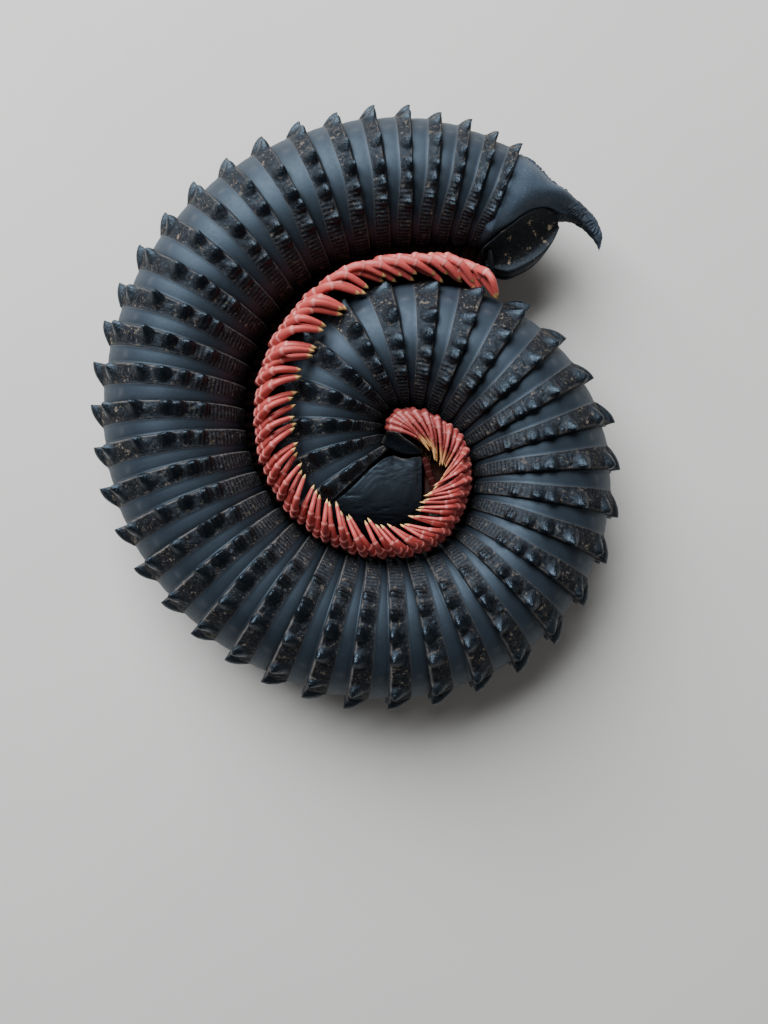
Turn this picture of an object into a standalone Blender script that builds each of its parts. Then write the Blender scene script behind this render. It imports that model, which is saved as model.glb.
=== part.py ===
# A crested millipede, life size, coiled tight and lying on its right side.
# Its left side is up and its lowest tubercles stand on the floor at z = 0.
# Sizes below are in millimetres and degrees, and meshes are made in metres.
# Rings are numbered from the tail, and a place between two rings is a fraction.
import math
import random

import bmesh
import bpy
from mathutils import Vector

mm = 0.001
gap = 0.3

# The coil: turn and length of each ring, and the body's radius, as (ring, value).
ringCount = 49
fullRadius = 6.75
tailCentre = Vector((11.1, 30.4, 0.0))
tailFacing = 68.1
turnKnots = [(1, 5.1), (9, 7.3), (17, 7.9), (25, 8.4), (33, 12.2), (41, 13.6), (45, 21.0), (49, 16.5)]
lengthKnots = [(1, 2.0), (10, 2.98), (40, 2.98), (49, 2.45)]
radiusKnots = [(1, 5.25), (5, 6.35), (12, fullRadius), (38, fullRadius), (49, 5.15)]
coilMiddle = Vector((-2.4, 10.1, 0.0))
restHeight = 7.35

# One ring: a smooth band, then a raised rough crest that ends in a sharp rear rim.
rimStep = 0.06
crestShare = 0.5
ridgeHeight = 0.35
bellyRidgeHeight = 0.1
ridgeEnd = 125.0
bandDip = 0.1
tubercles = {13: 0.85, 39: 0.85, 70: 0.85, 91: 0.85, 104: 0.6, 119: 0.45}
valleys = [0, 21, 31, 48, 61, 80, 97, 111, 127, 142, 160, 180]
tubercleLean = 0.25
tubercleVariation = 0.12

floorTolerance = 1e-7

# One pair of legs to a ring, and to every second ring where the coil is tightest.
# Hip is how far it stands out of the belly, and slant how far it leans to the tail.
# Reach is its length from hip to tip, and bow how far it bends to the tail between.
legRings = list(range(1, 34)) + list(range(34, 45, 2))
legHipKnots = [(0.7, 2.7), (1.5, 2.3), (3, 1.85), (8, 1.5), (12, 1.6), (16, 1.6), (20, 1.1), (24, 0.6),
               (30, 0.35), (34, 0.9), (40, 0.3), (49, 0.4)]
legSlantKnots = [(0.6, 54), (1.8, 60), (4, 57), (9, 54), (12, 38), (16, 26), (20, 20), (24, 27), (27, 34),
                 (31, 36), (36, 18), (40, 27), (43, 20), (45, -5), (48, -42)]
legReachKnots = [(0.6, 4.3), (1.8, 3.9), (3, 3.8), (8, 3.9), (10, 4.4), (19, 4.2), (23, 3.6), (27, 4.2),
                 (30, 3.9), (33, 4.3), (37, 4.4), (39, 3.4), (42, 4.8), (49, 4.4)]
legBowKnots = [(1, 0.2), (6, 0.15), (10, 0.75), (13, 0.4), (24, 0.1), (49, 0.1)]
legRootDepth = 0.7
legRootSide = 1.1
legHipSide = 3.3
legBend = 0.42
legArch = 0.6
legRadii = [0.43, 0.43, 0.42, 0.26]
legSides = 4
legTipLift = 1.4
# The inner turn under a leg starts this many rings further on, and is felt for in steps.
innerTurnAfter = 14
innerTurnStep = 0.25
innerTurnReach = 1.0

# Trunk lengths, as their first and last rings.
trunkLengths = [(1, 4), (5, 8), (9, 12), (13, 16), (17, 20), (21, 24), (25, 28), (29, 32),
                (33, 36), (37, 40), (41, 44), (45, 49)]
collumStart = 49.5

# Head end, as (x, y, facing, half height, half width) across the body.
collumRows = [(-2.9, 2.3, 224.5, 4.9, 4.8), (-1.5, 1.35, 236, 4.65, 4.7), (0.4, 1.05, 248, 4.3, 4.5),
              (2.1, 1.2, 260, 4.05, 4.2), (3.4, 1.45, 270, 3.8, 3.7)]
collumPower = 2.5
collumSides = 20
headRows = [(3.75, 1.5, 270, 3.3, 3.15), (4.6, 1.7, 273, 3.25, 3.2), (5.6, 2.2, 279, 2.8, 2.8),
            (6.3, 2.7, 286, 1.9, 1.9)]
headTip = Vector((6.75, 3.1, 0.0))
headSides = 18
eyeFacing = 52.0
eyeRadius = 0.62
eyeTopRadius = 0.43
eyeHeight = 0.5
eyeClearance = 0.4
eyeSides = 8
antennaRoute = [(4.5, 1.2, 3.8), (4.5, 2.3, 4.0), (4.1, 3.4, 3.95), (3.9, 4.4, 3.6), (3.6, 5.1, 3.1)]
antennaRadii = [0.36, 0.38, 0.36, 0.38, 0.3]
lobeRoute = [(-1.2, 6.6, 1.9), (0.5, 6.95, 2.5), (1.9, 6.55, 2.9), (3.2, 6.0, 3.0)]
lobeRadii = [0.75, 0.62, 0.5, 0.3]
antennaSides = 6
lobeSides = 6

# Tail end, as (back x, back y, belly x, belly y, half width) across the body.
preanalRows = [(13.4, 35.05, 9.6, 25.5, 5.15), (15.4, 34.25, 11.2, 26.6, 4.9), (16.9, 32.8, 13.0, 28.1, 4.1),
               (18.0, 31.75, 15.2, 29.3, 2.9), (19.0, 30.9, 17.2, 29.0, 1.6), (20.0, 30.0, 18.7, 28.5, 1.05),
               (21.0, 28.8, 20.0, 27.75, 0.75), (21.65, 27.4, 20.85, 26.75, 0.42)]
preanalPower = 4.5
preanalSides = 20
hookTip = Vector((21.35, 25.9, 0.0))
# Anal valves, from the belly end: edge against the last ring, outer lip, and both half widths.
valveRows = [(10.75, 25.45, 11.0, 23.45, 2.9, 0.8), (11.6, 26.1, 12.1, 23.2, 3.5, 1.0),
             (12.8, 27.05, 13.4, 23.6, 3.6, 1.1), (14.0, 27.95, 14.6, 24.3, 3.3, 1.1),
             (15.2, 28.65, 15.7, 25.3, 2.7, 1.1), (16.3, 28.75, 16.6, 26.6, 2.0, 1.0),
             (17.0, 28.5, 17.15, 27.8, 1.3, 0.8)]
valveHollowPlace = 0.6
valveHollow = 0.86
scaleRows = [(9.75, 25.0, 10.45, 24.95, 3.0), (10.0, 24.1, 10.65, 24.1, 2.5), (10.2, 23.3, 10.75, 23.3, 1.6)]
scalePower = 2.0
scaleSides = 8

shellColour = (0.012, 0.014, 0.019)
headColour = (0.06, 0.018, 0.012)
eyeColour = (0.004, 0.004, 0.005)
antennaColour = (0.35, 0.06, 0.04)
shellRoughness = 0.42
hornRoughness = 0.38
eyeRoughness = 0.2


def smoothValue(knots, x):
    # A smooth curve through the knots that never overshoots them.
    xs = [knot[0] for knot in knots]
    ys = [knot[1] for knot in knots]
    if x <= xs[0]:
        return ys[0]
    if x >= xs[-1]:
        return ys[-1]
    steps = [b - a for a, b in zip(xs, xs[1:])]
    slopes = [(b - a) / step for a, b, step in zip(ys, ys[1:], steps)]
    tangents = [slopes[0]]
    for a, b in zip(slopes, slopes[1:]):
        tangents.append(2 * a * b / (a + b) if a * b > 0 else 0.0)
    tangents.append(slopes[-1])
    i = max(k for k in range(len(steps)) if xs[k] <= x)
    h = steps[i]
    s = (x - xs[i]) / h
    rise = ys[i] * (1 + 2 * s) * (1 - s) ** 2 + ys[i + 1] * s * s * (3 - 2 * s)
    return rise + h * (tangents[i] * s * (1 - s) ** 2 + tangents[i + 1] * s * s * (s - 1))


def radiusAt(ring):
    return smoothValue(radiusKnots, ring)


def coilPath(step, last):
    # Walks the body's axis from the last ring of the tail towards the head.
    path = {0: (tailCentre.copy(), tailFacing)}
    centre = tailCentre.copy()
    facing = tailFacing
    for i in range(round((last - 1) / step)):
        ring = 1 + (i + 0.5) * step
        turn = smoothValue(turnKnots, ring) * step
        heading = math.radians(facing + turn / 2 + 90)
        centre += Vector((math.cos(heading), math.sin(heading), 0)) * smoothValue(lengthKnots, ring) * step
        facing += turn
        path[i + 1] = (centre.copy(), facing)
    return path


pathStep = 0.02
path = coilPath(pathStep, ringCount + 1)


def directions(facing):
    a = math.radians(facing)
    return Vector((math.cos(a), math.sin(a), 0)), Vector((-math.sin(a), math.cos(a), 0))


def frameAt(ring):
    # Centre of the body, direction out to its back, and direction to its head.
    if ring < 1:
        centre, facing = path[0]
        out, ahead = directions(facing)
        return centre + ahead * (ring - 1) * lengthKnots[0][1], out, ahead
    centre, facing = path[round((ring - 1) / pathStep)]
    out, ahead = directions(facing)
    return centre, out, ahead


side = Vector((0, 0, 1))
columnAngles = sorted(list(tubercles) + valleys)
columnAngles += [360 - a for a in reversed(columnAngles[1:-1])]


def ridgeAt(angle):
    fromBack = min(angle, 360 - angle)
    return ridgeHeight if fromBack < ridgeEnd else bellyRidgeHeight


def ringPoint(frame, angle, radius, along=0.0):
    centre, out, ahead = frame
    a = math.radians(angle)
    return centre + (out * math.cos(a) + side * math.sin(a)) * radius + ahead * along


def trunkSections(first, last):
    # Each ring gives the foot of its rim, the rim with its tubercles, and the crest's front.
    rng = random.Random(first)
    sections = []
    for ring in range(first, last + 1):
        foot = frameAt(ring - rimStep)
        rim = frameAt(ring)
        front = frameAt(ring + crestShare)
        radius = radiusAt(ring)
        sections.append([ringPoint(foot, a, radius - bandDip) for a in columnAngles])
        rimPoints = []
        for angle in columnAngles:
            height = tubercles.get(min(angle, 360 - angle), 0)
            if height:
                height *= rng.uniform(1 - tubercleVariation, 1 + tubercleVariation) * radius / fullRadius
                rimPoints.append(ringPoint(rim, angle, radius + height, -tubercleLean))
            else:
                rimPoints.append(ringPoint(rim, angle, radius + ridgeAt(angle)))
        sections.append(rimPoints)
        if ring + crestShare < collumStart:
            sections.append([ringPoint(front, a, radiusAt(ring + crestShare)) for a in columnAngles])
    ending = min(last + 1 - rimStep, collumStart)
    meeting = frameAt(ending)
    sections.append([ringPoint(meeting, a, radiusAt(ending) - bandDip, -gap) for a in columnAngles])
    return sections


def crossSection(x, y, facing, halfHeight, halfWidth, count, power=2.0):
    out, ahead = directions(facing)
    points = []
    for i in range(count):
        a = 2 * math.pi * i / count
        c = math.copysign(abs(math.cos(a)) ** (2 / power), math.cos(a))
        s = math.copysign(abs(math.sin(a)) ** (2 / power), math.sin(a))
        points.append(Vector((x, y, 0)) + out * halfHeight * c + side * halfWidth * s)
    return points


def spanSection(backX, backY, bellyX, bellyY, halfWidth, count, power):
    # A section between a point on the back and one on the belly, squarer at the belly.
    back = Vector((backX, backY, 0))
    belly = Vector((bellyX, bellyY, 0))
    points = []
    for i in range(count):
        a = 2 * math.pi * i / count
        fullness = abs(math.sin(a)) ** (1.0 if math.cos(a) > 0 else 2 / power)
        points.append((back + belly) / 2 + (back - belly) / 2 * math.cos(a)
                      + side * math.copysign(halfWidth * fullness, math.sin(a)))
    return points


def tubeSections(route, radii, across, sides):
    # Sections square to a bent line, one of their axes along "across".
    sections = []
    for i, point in enumerate(route):
        before = route[max(i - 1, 0)]
        after = route[min(i + 1, len(route) - 1)]
        direction = (after - before).normalized()
        first = (across - direction * across.dot(direction)).normalized()
        second = direction.cross(first)
        sections.append([point + (first * math.cos(2 * math.pi * k / sides)
                                  + second * math.sin(2 * math.pi * k / sides)) * radii[i]
                         for k in range(sides)])
    return sections


def toWorld(point):
    return (point - coilMiddle + side * restHeight) * mm


def makeSolid(name, sections, tip=None):
    # Skins the sections, closes the first one flat and the last one flat or to a point.
    bm = bmesh.new()
    loops = [[bm.verts.new(toWorld(p)) for p in section] for section in sections]
    for a, b in zip(loops, loops[1:]):
        for i in range(len(a)):
            j = (i + 1) % len(a)
            bm.faces.new((a[i], a[j], b[j], b[i]))
    for loop, end in ((loops[0], None), (loops[-1], tip)):
        if end is None:
            middle = sum((v.co for v in loop), Vector()) / len(loop)
        else:
            middle = toWorld(end)
        hub = bm.verts.new(middle)
        for i in range(len(loop)):
            bm.faces.new((loop[i], loop[(i + 1) % len(loop)], hub))
    bmesh.ops.triangulate(bm, faces=bm.faces)
    bmesh.ops.recalc_face_normals(bm, faces=bm.faces)
    mesh = bpy.data.meshes.new(name)
    bm.to_mesh(mesh)
    bm.free()
    solid = bpy.data.objects.new(name, mesh)
    bpy.context.scene.collection.objects.link(solid)
    return solid


def finish(solid, colour, roughness):
    material = bpy.data.materials.new(solid.name + "_surface")
    material.use_nodes = True
    shader = material.node_tree.nodes["Principled BSDF"]
    shader.inputs["Base Color"].default_value = (*colour, 1)
    shader.inputs["Roughness"].default_value = roughness
    shader.inputs["Metallic"].default_value = 0.0
    solid.data.materials.clear()
    solid.data.materials.append(material)


def unite(solid, extras):
    # Joins the extra pieces to a solid and keeps the one closed surface.
    pieces = bpy.data.collections.new(solid.name + "_pieces")
    bpy.context.scene.collection.children.link(pieces)
    for extra in extras:
        bpy.context.scene.collection.objects.unlink(extra)
        pieces.objects.link(extra)
    union = solid.modifiers.new("union", "BOOLEAN")
    union.operation = "UNION"
    union.operand_type = "COLLECTION"
    union.collection = pieces
    union.solver = "EXACT"
    evaluated = solid.evaluated_get(bpy.context.evaluated_depsgraph_get())
    joined = bpy.data.meshes.new_from_object(evaluated)
    solid.modifiers.clear()
    solid.data = joined
    for extra in extras:
        bpy.data.objects.remove(extra, do_unlink=True)
    bpy.data.collections.remove(pieces)
    bm = bmesh.new()
    bm.from_mesh(joined)
    bmesh.ops.triangulate(bm, faces=bm.faces)
    keepLargest(bm)
    bm.to_mesh(joined)
    bm.free()


def keepLargest(bm):
    left = set(bm.verts)
    groups = []
    while left:
        start = left.pop()
        group = {start}
        queue = [start]
        while queue:
            for edge in queue.pop().link_edges:
                for vert in edge.verts:
                    if vert in left:
                        left.remove(vert)
                        group.add(vert)
                        queue.append(vert)
        groups.append(group)
    groups.sort(key=len)
    for group in groups[:-1]:
        bmesh.ops.delete(bm, geom=list(group), context="VERTS")


def cutAtFloor(solid):
    # Gives each tubercle that the body stands on a small flat at z = 0.
    bm = bmesh.new()
    bm.from_mesh(solid.data)
    cut = bmesh.ops.bisect_plane(bm, geom=bm.verts[:] + bm.edges[:] + bm.faces[:], dist=floorTolerance,
                                 plane_co=(0, 0, 0), plane_no=(0, 0, -1), clear_outer=True)
    edges = [item for item in cut["geom_cut"] if isinstance(item, bmesh.types.BMEdge)]
    if edges:
        bmesh.ops.edgenet_fill(bm, edges=edges)
        bmesh.ops.triangulate(bm, faces=bm.faces)
        bmesh.ops.recalc_face_normals(bm, faces=bm.faces)
        bm.to_mesh(solid.data)
    bm.free()


def heightBelow(point, ring):
    # Height of the inner turn or the head's plates above the coil's middle plane.
    height = 0.0
    place = ring + innerTurnAfter
    while place < collumStart:
        centre, out, ahead = frameAt(place)
        off = point - centre
        reach = math.hypot(off.x, off.y)
        if abs(off.dot(ahead)) < innerTurnReach and reach < radiusAt(place):
            height = max(height, math.sqrt(radiusAt(place) ** 2 - reach ** 2))
        place += innerTurnStep
    for x, y, facing, halfHeight, halfWidth in collumRows + headRows:
        reach = math.hypot(point.x - x, point.y - y) / halfHeight
        if reach < 1:
            height = max(height, halfWidth * (1 - reach ** collumPower) ** (1 / collumPower))
    return height


def legRoute(ring, hand):
    # From beside the belly's midline out to the hip, over a bend, and down onto the inner turn.
    centre, out, ahead = frameAt(ring)
    radius = radiusAt(ring)
    slant = math.radians(smoothValue(legSlantKnots, ring))
    stride = -out * math.cos(slant) - ahead * math.sin(slant)
    bow = out * math.sin(slant) - ahead * math.cos(slant)
    reach = smoothValue(legReachKnots, ring)
    root = centre - out * (radius - legRootDepth) + side * legRootSide * hand
    hip = centre - out * (radius + smoothValue(legHipKnots, ring)) + side * legHipSide * hand
    tip = hip + stride * reach
    tip.z = max(legHipSide, heightBelow(tip, ring) + legTipLift) * hand
    middle = hip + stride * reach * legBend + bow * smoothValue(legBowKnots, ring)
    middle.z = (max(legHipSide, abs(tip.z)) + legArch) * hand
    return [root, hip, middle, tip]


def makeLeg(ring, hand):
    ahead = frameAt(ring)[2]
    return makeSolid("leg", tubeSections(legRoute(ring, hand), legRadii, ahead, legSides))


def makeLobe(hand):
    route = [Vector((x, y, z * hand)) for x, y, z in lobeRoute]
    return makeSolid("lobe", tubeSections(route, lobeRadii, side, lobeSides))


def makeTrunk():
    for number, (first, last) in enumerate(trunkLengths, 1):
        trunk = makeSolid(f"trunk_{number:02d}", trunkSections(first, last))
        cutAtFloor(trunk)
        extras = [makeLeg(ring, hand) for ring in legRings if first <= ring <= last for hand in (1, -1)]
        if last == ringCount:
            extras += [makeLobe(1), makeLobe(-1)]
        if extras:
            unite(trunk, extras)
        finish(trunk, shellColour, shellRoughness)


def makeHead():
    collum = makeSolid("collum", [crossSection(*row, collumSides, collumPower) for row in collumRows])
    finish(collum, shellColour, shellRoughness)
    head = makeSolid("head", [crossSection(*row, headSides) for row in headRows], headTip)
    finish(head, headColour, hornRoughness)
    x, y, facing, halfHeight, halfWidth = headRows[1]
    out, ahead = directions(facing)
    for name, hand in (("left", 1), ("right", -1)):
        a = math.radians(eyeFacing)
        normal = (out * math.cos(a) * halfWidth + side * math.sin(a) * halfHeight * hand).normalized()
        surface = Vector((x, y, 0)) + out * halfHeight * math.cos(a) + side * halfWidth * math.sin(a) * hand
        route = [surface + normal * eyeClearance, surface + normal * (eyeClearance + eyeHeight)]
        eye = makeSolid("eye_" + name, tubeSections(route, [eyeRadius, eyeTopRadius], ahead, eyeSides))
        finish(eye, eyeColour, eyeRoughness)
        route = [Vector((px, py, pz * hand)) for px, py, pz in antennaRoute]
        antenna = makeSolid("antenna_" + name, tubeSections(route, antennaRadii, side, antennaSides))
        finish(antenna, antennaColour, hornRoughness)


def makeTail():
    sections = [spanSection(*row, preanalSides, preanalPower) for row in preanalRows]
    preanal = makeSolid("preanal_ring", sections, hookTip)
    finish(preanal, shellColour, shellRoughness)
    for name, hand in (("left", 1), ("right", -1)):
        sections = []
        for edgeX, edgeY, lipX, lipY, edgeWidth, lipWidth in valveRows:
            edge = Vector((edgeX, edgeY, 0))
            lip = Vector((lipX, lipY, 0))
            hollowWidth = (edgeWidth + (lipWidth - edgeWidth) * valveHollowPlace) * valveHollow
            hollow = edge.lerp(lip, valveHollowPlace) + side * hand * hollowWidth
            inner = side * hand * gap / 2
            sections.append([edge + inner, edge + side * hand * edgeWidth, hollow,
                             lip + side * hand * lipWidth, lip + inner])
        valve = makeSolid("anal_valve_" + name, sections)
        finish(valve, shellColour, hornRoughness)
    scale = makeSolid("subanal_scale", [spanSection(*row, scaleSides, scalePower) for row in scaleRows])
    finish(scale, shellColour, shellRoughness)


for item in list(bpy.data.objects):
    bpy.data.objects.remove(item, do_unlink=True)
makeTrunk()
makeHead()
makeTail()
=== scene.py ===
import math

import bpy
import numpy as np
from mathutils import Matrix, Vector


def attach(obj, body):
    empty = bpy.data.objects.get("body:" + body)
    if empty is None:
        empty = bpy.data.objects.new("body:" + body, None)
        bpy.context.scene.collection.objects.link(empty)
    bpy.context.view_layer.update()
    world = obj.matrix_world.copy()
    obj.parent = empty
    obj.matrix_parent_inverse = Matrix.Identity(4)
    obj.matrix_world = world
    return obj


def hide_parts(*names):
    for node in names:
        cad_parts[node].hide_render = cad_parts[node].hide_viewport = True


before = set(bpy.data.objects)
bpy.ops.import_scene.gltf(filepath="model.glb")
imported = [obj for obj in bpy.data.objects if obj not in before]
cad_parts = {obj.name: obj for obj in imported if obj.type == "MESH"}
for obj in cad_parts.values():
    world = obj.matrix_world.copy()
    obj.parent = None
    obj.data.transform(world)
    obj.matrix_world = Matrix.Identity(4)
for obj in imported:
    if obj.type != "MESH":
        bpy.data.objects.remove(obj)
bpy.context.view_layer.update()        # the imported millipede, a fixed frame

# A crested millipede, life size, coiled on its right side with its left side up.
# Shapes are worked out in millimetres in the coil's own plane and set in place by toWorld.
# Rings count from the tail, and an angle round the body counts from the middle of the back.
mm = 0.001
side = np.array([0.0, 0.0, 1.0])

coil = {
    "ringCount": 49,
    "tailCentre": (11.1, 30.4),
    "tailFacing": 68.1,
    "turn": [(1, 5.1), (9, 7.3), (17, 7.9), (25, 8.4), (33, 12.2), (41, 13.6), (45, 21.0), (49, 16.5)],
    "length": [(1, 2.0), (10, 2.98), (40, 2.98), (49, 2.45)],
    "radius": [(1, 5.25), (5, 6.35), (12, 6.75), (38, 6.75), (49, 5.15)],
    "fullRadius": 6.75,
    "step": 0.02,
    "middle": (-2.4, 10.1, 0.0),
    "restHeight": 7.35,
    "collumStart": 49.5,
    "innerTurnAfter": 14,
}


def curve(knots, x):
    # a smooth line through the knots that never overshoots them
    xs, ys = np.array(knots, float).T
    steps = np.diff(xs)
    slopes = np.diff(ys) / steps
    tangents = np.concatenate([slopes[:1], np.zeros(len(xs) - 2), slopes[-1:]])
    product = slopes[:-1] * slopes[1:]
    total = np.where(product > 0, slopes[:-1] + slopes[1:], 1.0)
    tangents[1:-1] = np.where(product > 0, 2 * product / total, 0.0)
    x = np.clip(x, xs[0], xs[-1])
    i = np.clip(np.searchsorted(xs, x, side="right") - 1, 0, len(steps) - 1)
    s = (x - xs[i]) / steps[i]
    rise = ys[i] * (1 + 2 * s) * (1 - s) ** 2 + ys[i + 1] * s * s * (3 - 2 * s)
    return rise + steps[i] * (tangents[i] * s * (1 - s) ** 2 + tangents[i + 1] * s * s * (s - 1))


def smooth(low, high, x):
    t = np.clip((x - low) / (high - low), 0, 1)
    return t * t * (3 - 2 * t)


def walkCoil():
    # the body's axis from the last ring of the tail to the head
    rings = np.arange(1, coil["ringCount"] + 1 + coil["step"] / 2, coil["step"])
    middles = rings[:-1] + coil["step"] / 2
    turns = curve(coil["turn"], middles) * coil["step"]
    facings = coil["tailFacing"] + np.concatenate([[0], np.cumsum(turns)])
    headings = np.radians(facings[:-1] + turns / 2 + 90)
    strides = curve(coil["length"], middles) * coil["step"]
    xs = coil["tailCentre"][0] + np.concatenate([[0], np.cumsum(np.cos(headings) * strides)])
    ys = coil["tailCentre"][1] + np.concatenate([[0], np.cumsum(np.sin(headings) * strides)])
    return rings, xs, ys, facings


pathRings, pathXs, pathYs, pathFacings = walkCoil()


def directions(facing):
    a = np.radians(facing)
    flat = np.zeros_like(a)
    return (np.stack([np.cos(a), np.sin(a), flat], -1), np.stack([-np.sin(a), np.cos(a), flat], -1))


def frames(ring):
    # middle of the body, direction out to its back and direction to its head
    ring = np.asarray(ring, float)
    held = np.maximum(ring, 1)
    out, ahead = directions(np.interp(held, pathRings, pathFacings))
    flat = np.zeros_like(held)
    centre = np.stack([np.interp(held, pathRings, pathXs), np.interp(held, pathRings, pathYs), flat], -1)
    return centre + ahead * ((ring - held) * coil["length"][0][1])[..., None], out, ahead


def radiusAt(ring):
    return curve(coil["radius"], ring)


def toWorld(points):
    # what would go through the floor is pressed flat on it
    placed = (np.asarray(points, float) - np.array(coil["middle"]) + side * coil["restHeight"]) * mm
    placed[..., 2] = np.maximum(placed[..., 2], 0)
    return placed


def noise(points, seed):
    # soft random swells from -1 to 1, the same each time for the same seed
    cell = np.floor(points).astype(np.int64)
    f = points - cell
    f = f * f * (3 - 2 * f)
    total = np.zeros(points.shape[:-1])
    for corner in range(8):
        at = [(corner >> k) & 1 for k in range(3)]
        mixed = seed * 2654435761
        weight = 1.0
        for k, prime in enumerate((73856093, 19349663, 83492791)):
            mixed = mixed ^ ((cell[..., k] + at[k]) * prime)
            weight = weight * (f[..., k] if at[k] else 1 - f[..., k])
        mixed = (mixed ^ (mixed >> 13)) & 0xFFFFFFFF
        mixed = (mixed * 1274126177) & 0xFFFFFFFF
        mixed = mixed ^ (mixed >> 16)
        total += weight * ((mixed & 0xFFFF) / 32767.5 - 1)
    return total


def swells(points, *waves):
    # noise of several sizes together: waves for each millimetre, seed and height of each
    return sum(noise(points * scale, seed) * tall for scale, seed, tall in waves)


def facesOut(points, quads, triangles):
    # whether the faces of a closed mesh look outward, from the volume that they enclose
    corners = np.concatenate([quads[:, (0, 1, 2)], quads[:, (0, 2, 3)], triangles])
    a, b, c = (points[corners[:, k]] for k in range(3))
    return (a * np.cross(b, c)).sum() > 0


def addMesh(name, points, quads, triangles, zones):
    # a mesh from arrays, with up to four painted zones kept as one colour attribute
    if not facesOut(points, quads, triangles):
        quads = quads[:, ::-1]
        triangles = triangles[:, ::-1]
    mesh = bpy.data.meshes.new(name)
    mesh.vertices.add(len(points))
    mesh.vertices.foreach_set("co", np.asarray(points, np.float32).ravel())
    mesh.loops.add(quads.size + triangles.size)
    mesh.loops.foreach_set("vertex_index", np.concatenate([quads.ravel(), triangles.ravel()]))
    mesh.polygons.add(len(quads) + len(triangles))
    sizes = np.concatenate([np.full(len(quads), 4), np.full(len(triangles), 3)])
    starts = np.concatenate([[0], np.cumsum(sizes)[:-1]])
    mesh.polygons.foreach_set("loop_start", starts.astype(np.int32))
    mesh.update(calc_edges=True)
    mesh.validate()
    if zones is not None:
        paint = mesh.color_attributes.new("zones", "FLOAT_COLOR", "POINT")
        paint.data.foreach_set("color", np.asarray(zones, np.float32).ravel())
    mesh.shade_smooth()
    piece = bpy.data.objects.new(name, mesh)
    bpy.context.scene.collection.objects.link(piece)
    return piece


def tubeFaces(rows, columns, start):
    # quads between closed rows that follow one another
    r, c = np.meshgrid(np.arange(rows - 1), np.arange(columns), indexing="ij")
    n = (c + 1) % columns
    base = start + r * columns
    return np.stack([base + c, base + n, base + columns + n, base + columns + c], -1).reshape(-1, 4)


def capFaces(first, columns, hub, flip):
    c = np.arange(columns)
    n = (c + 1) % columns
    pair = (n, c) if flip else (c, n)
    return np.stack([first + pair[0], first + pair[1], np.full(columns, hub)], -1)


def addTubes(name, tubes):
    # one mesh of tubes, each from its rows of points, their zones and the two tips that close it
    points = []
    quads = []
    triangles = []
    paint = []
    start = 0
    for grid, zones, startTip, endTip in tubes:
        rows, columns = grid.shape[:2]
        hub = start + rows * columns
        points += [grid.reshape(-1, 3), [startTip, endTip]]
        quads.append(tubeFaces(rows, columns, start))
        triangles.append(capFaces(start, columns, hub, True))
        triangles.append(capFaces(hub - columns, columns, hub + 1, False))
        if zones is not None:
            paint += [zones.reshape(-1, 4), zones[0, :1], zones[-1, :1]]
        start = hub + 2
    return addMesh(name, toWorld(np.concatenate(points)), np.concatenate(quads),
                   np.concatenate(triangles), np.concatenate(paint) if paint else None)


def closedTube(name, grid, zones=None, endTip=None):
    # one tube, closed to the middle of its end rows where no tip is given
    endTip = grid[-1].mean(0) if endTip is None else endTip
    return addTubes(name, [(grid, zones, grid[0].mean(0), endTip)])


def setFinish(piece, material):
    piece.data.materials.clear()
    piece.data.materials.append(material)
    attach(piece, "root")


shaderInputs = {
    "colour": "Base Color",
    "rough": "Roughness",
    "specular": "Specular IOR Level",
    "tint": "Specular Tint",
    "coat": "Coat Weight",
    "soft": "Subsurface Weight",
    "softReach": "Subsurface Radius",
    "softDepth": "Subsurface Scale",
    "relief": "Normal",
}


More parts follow.
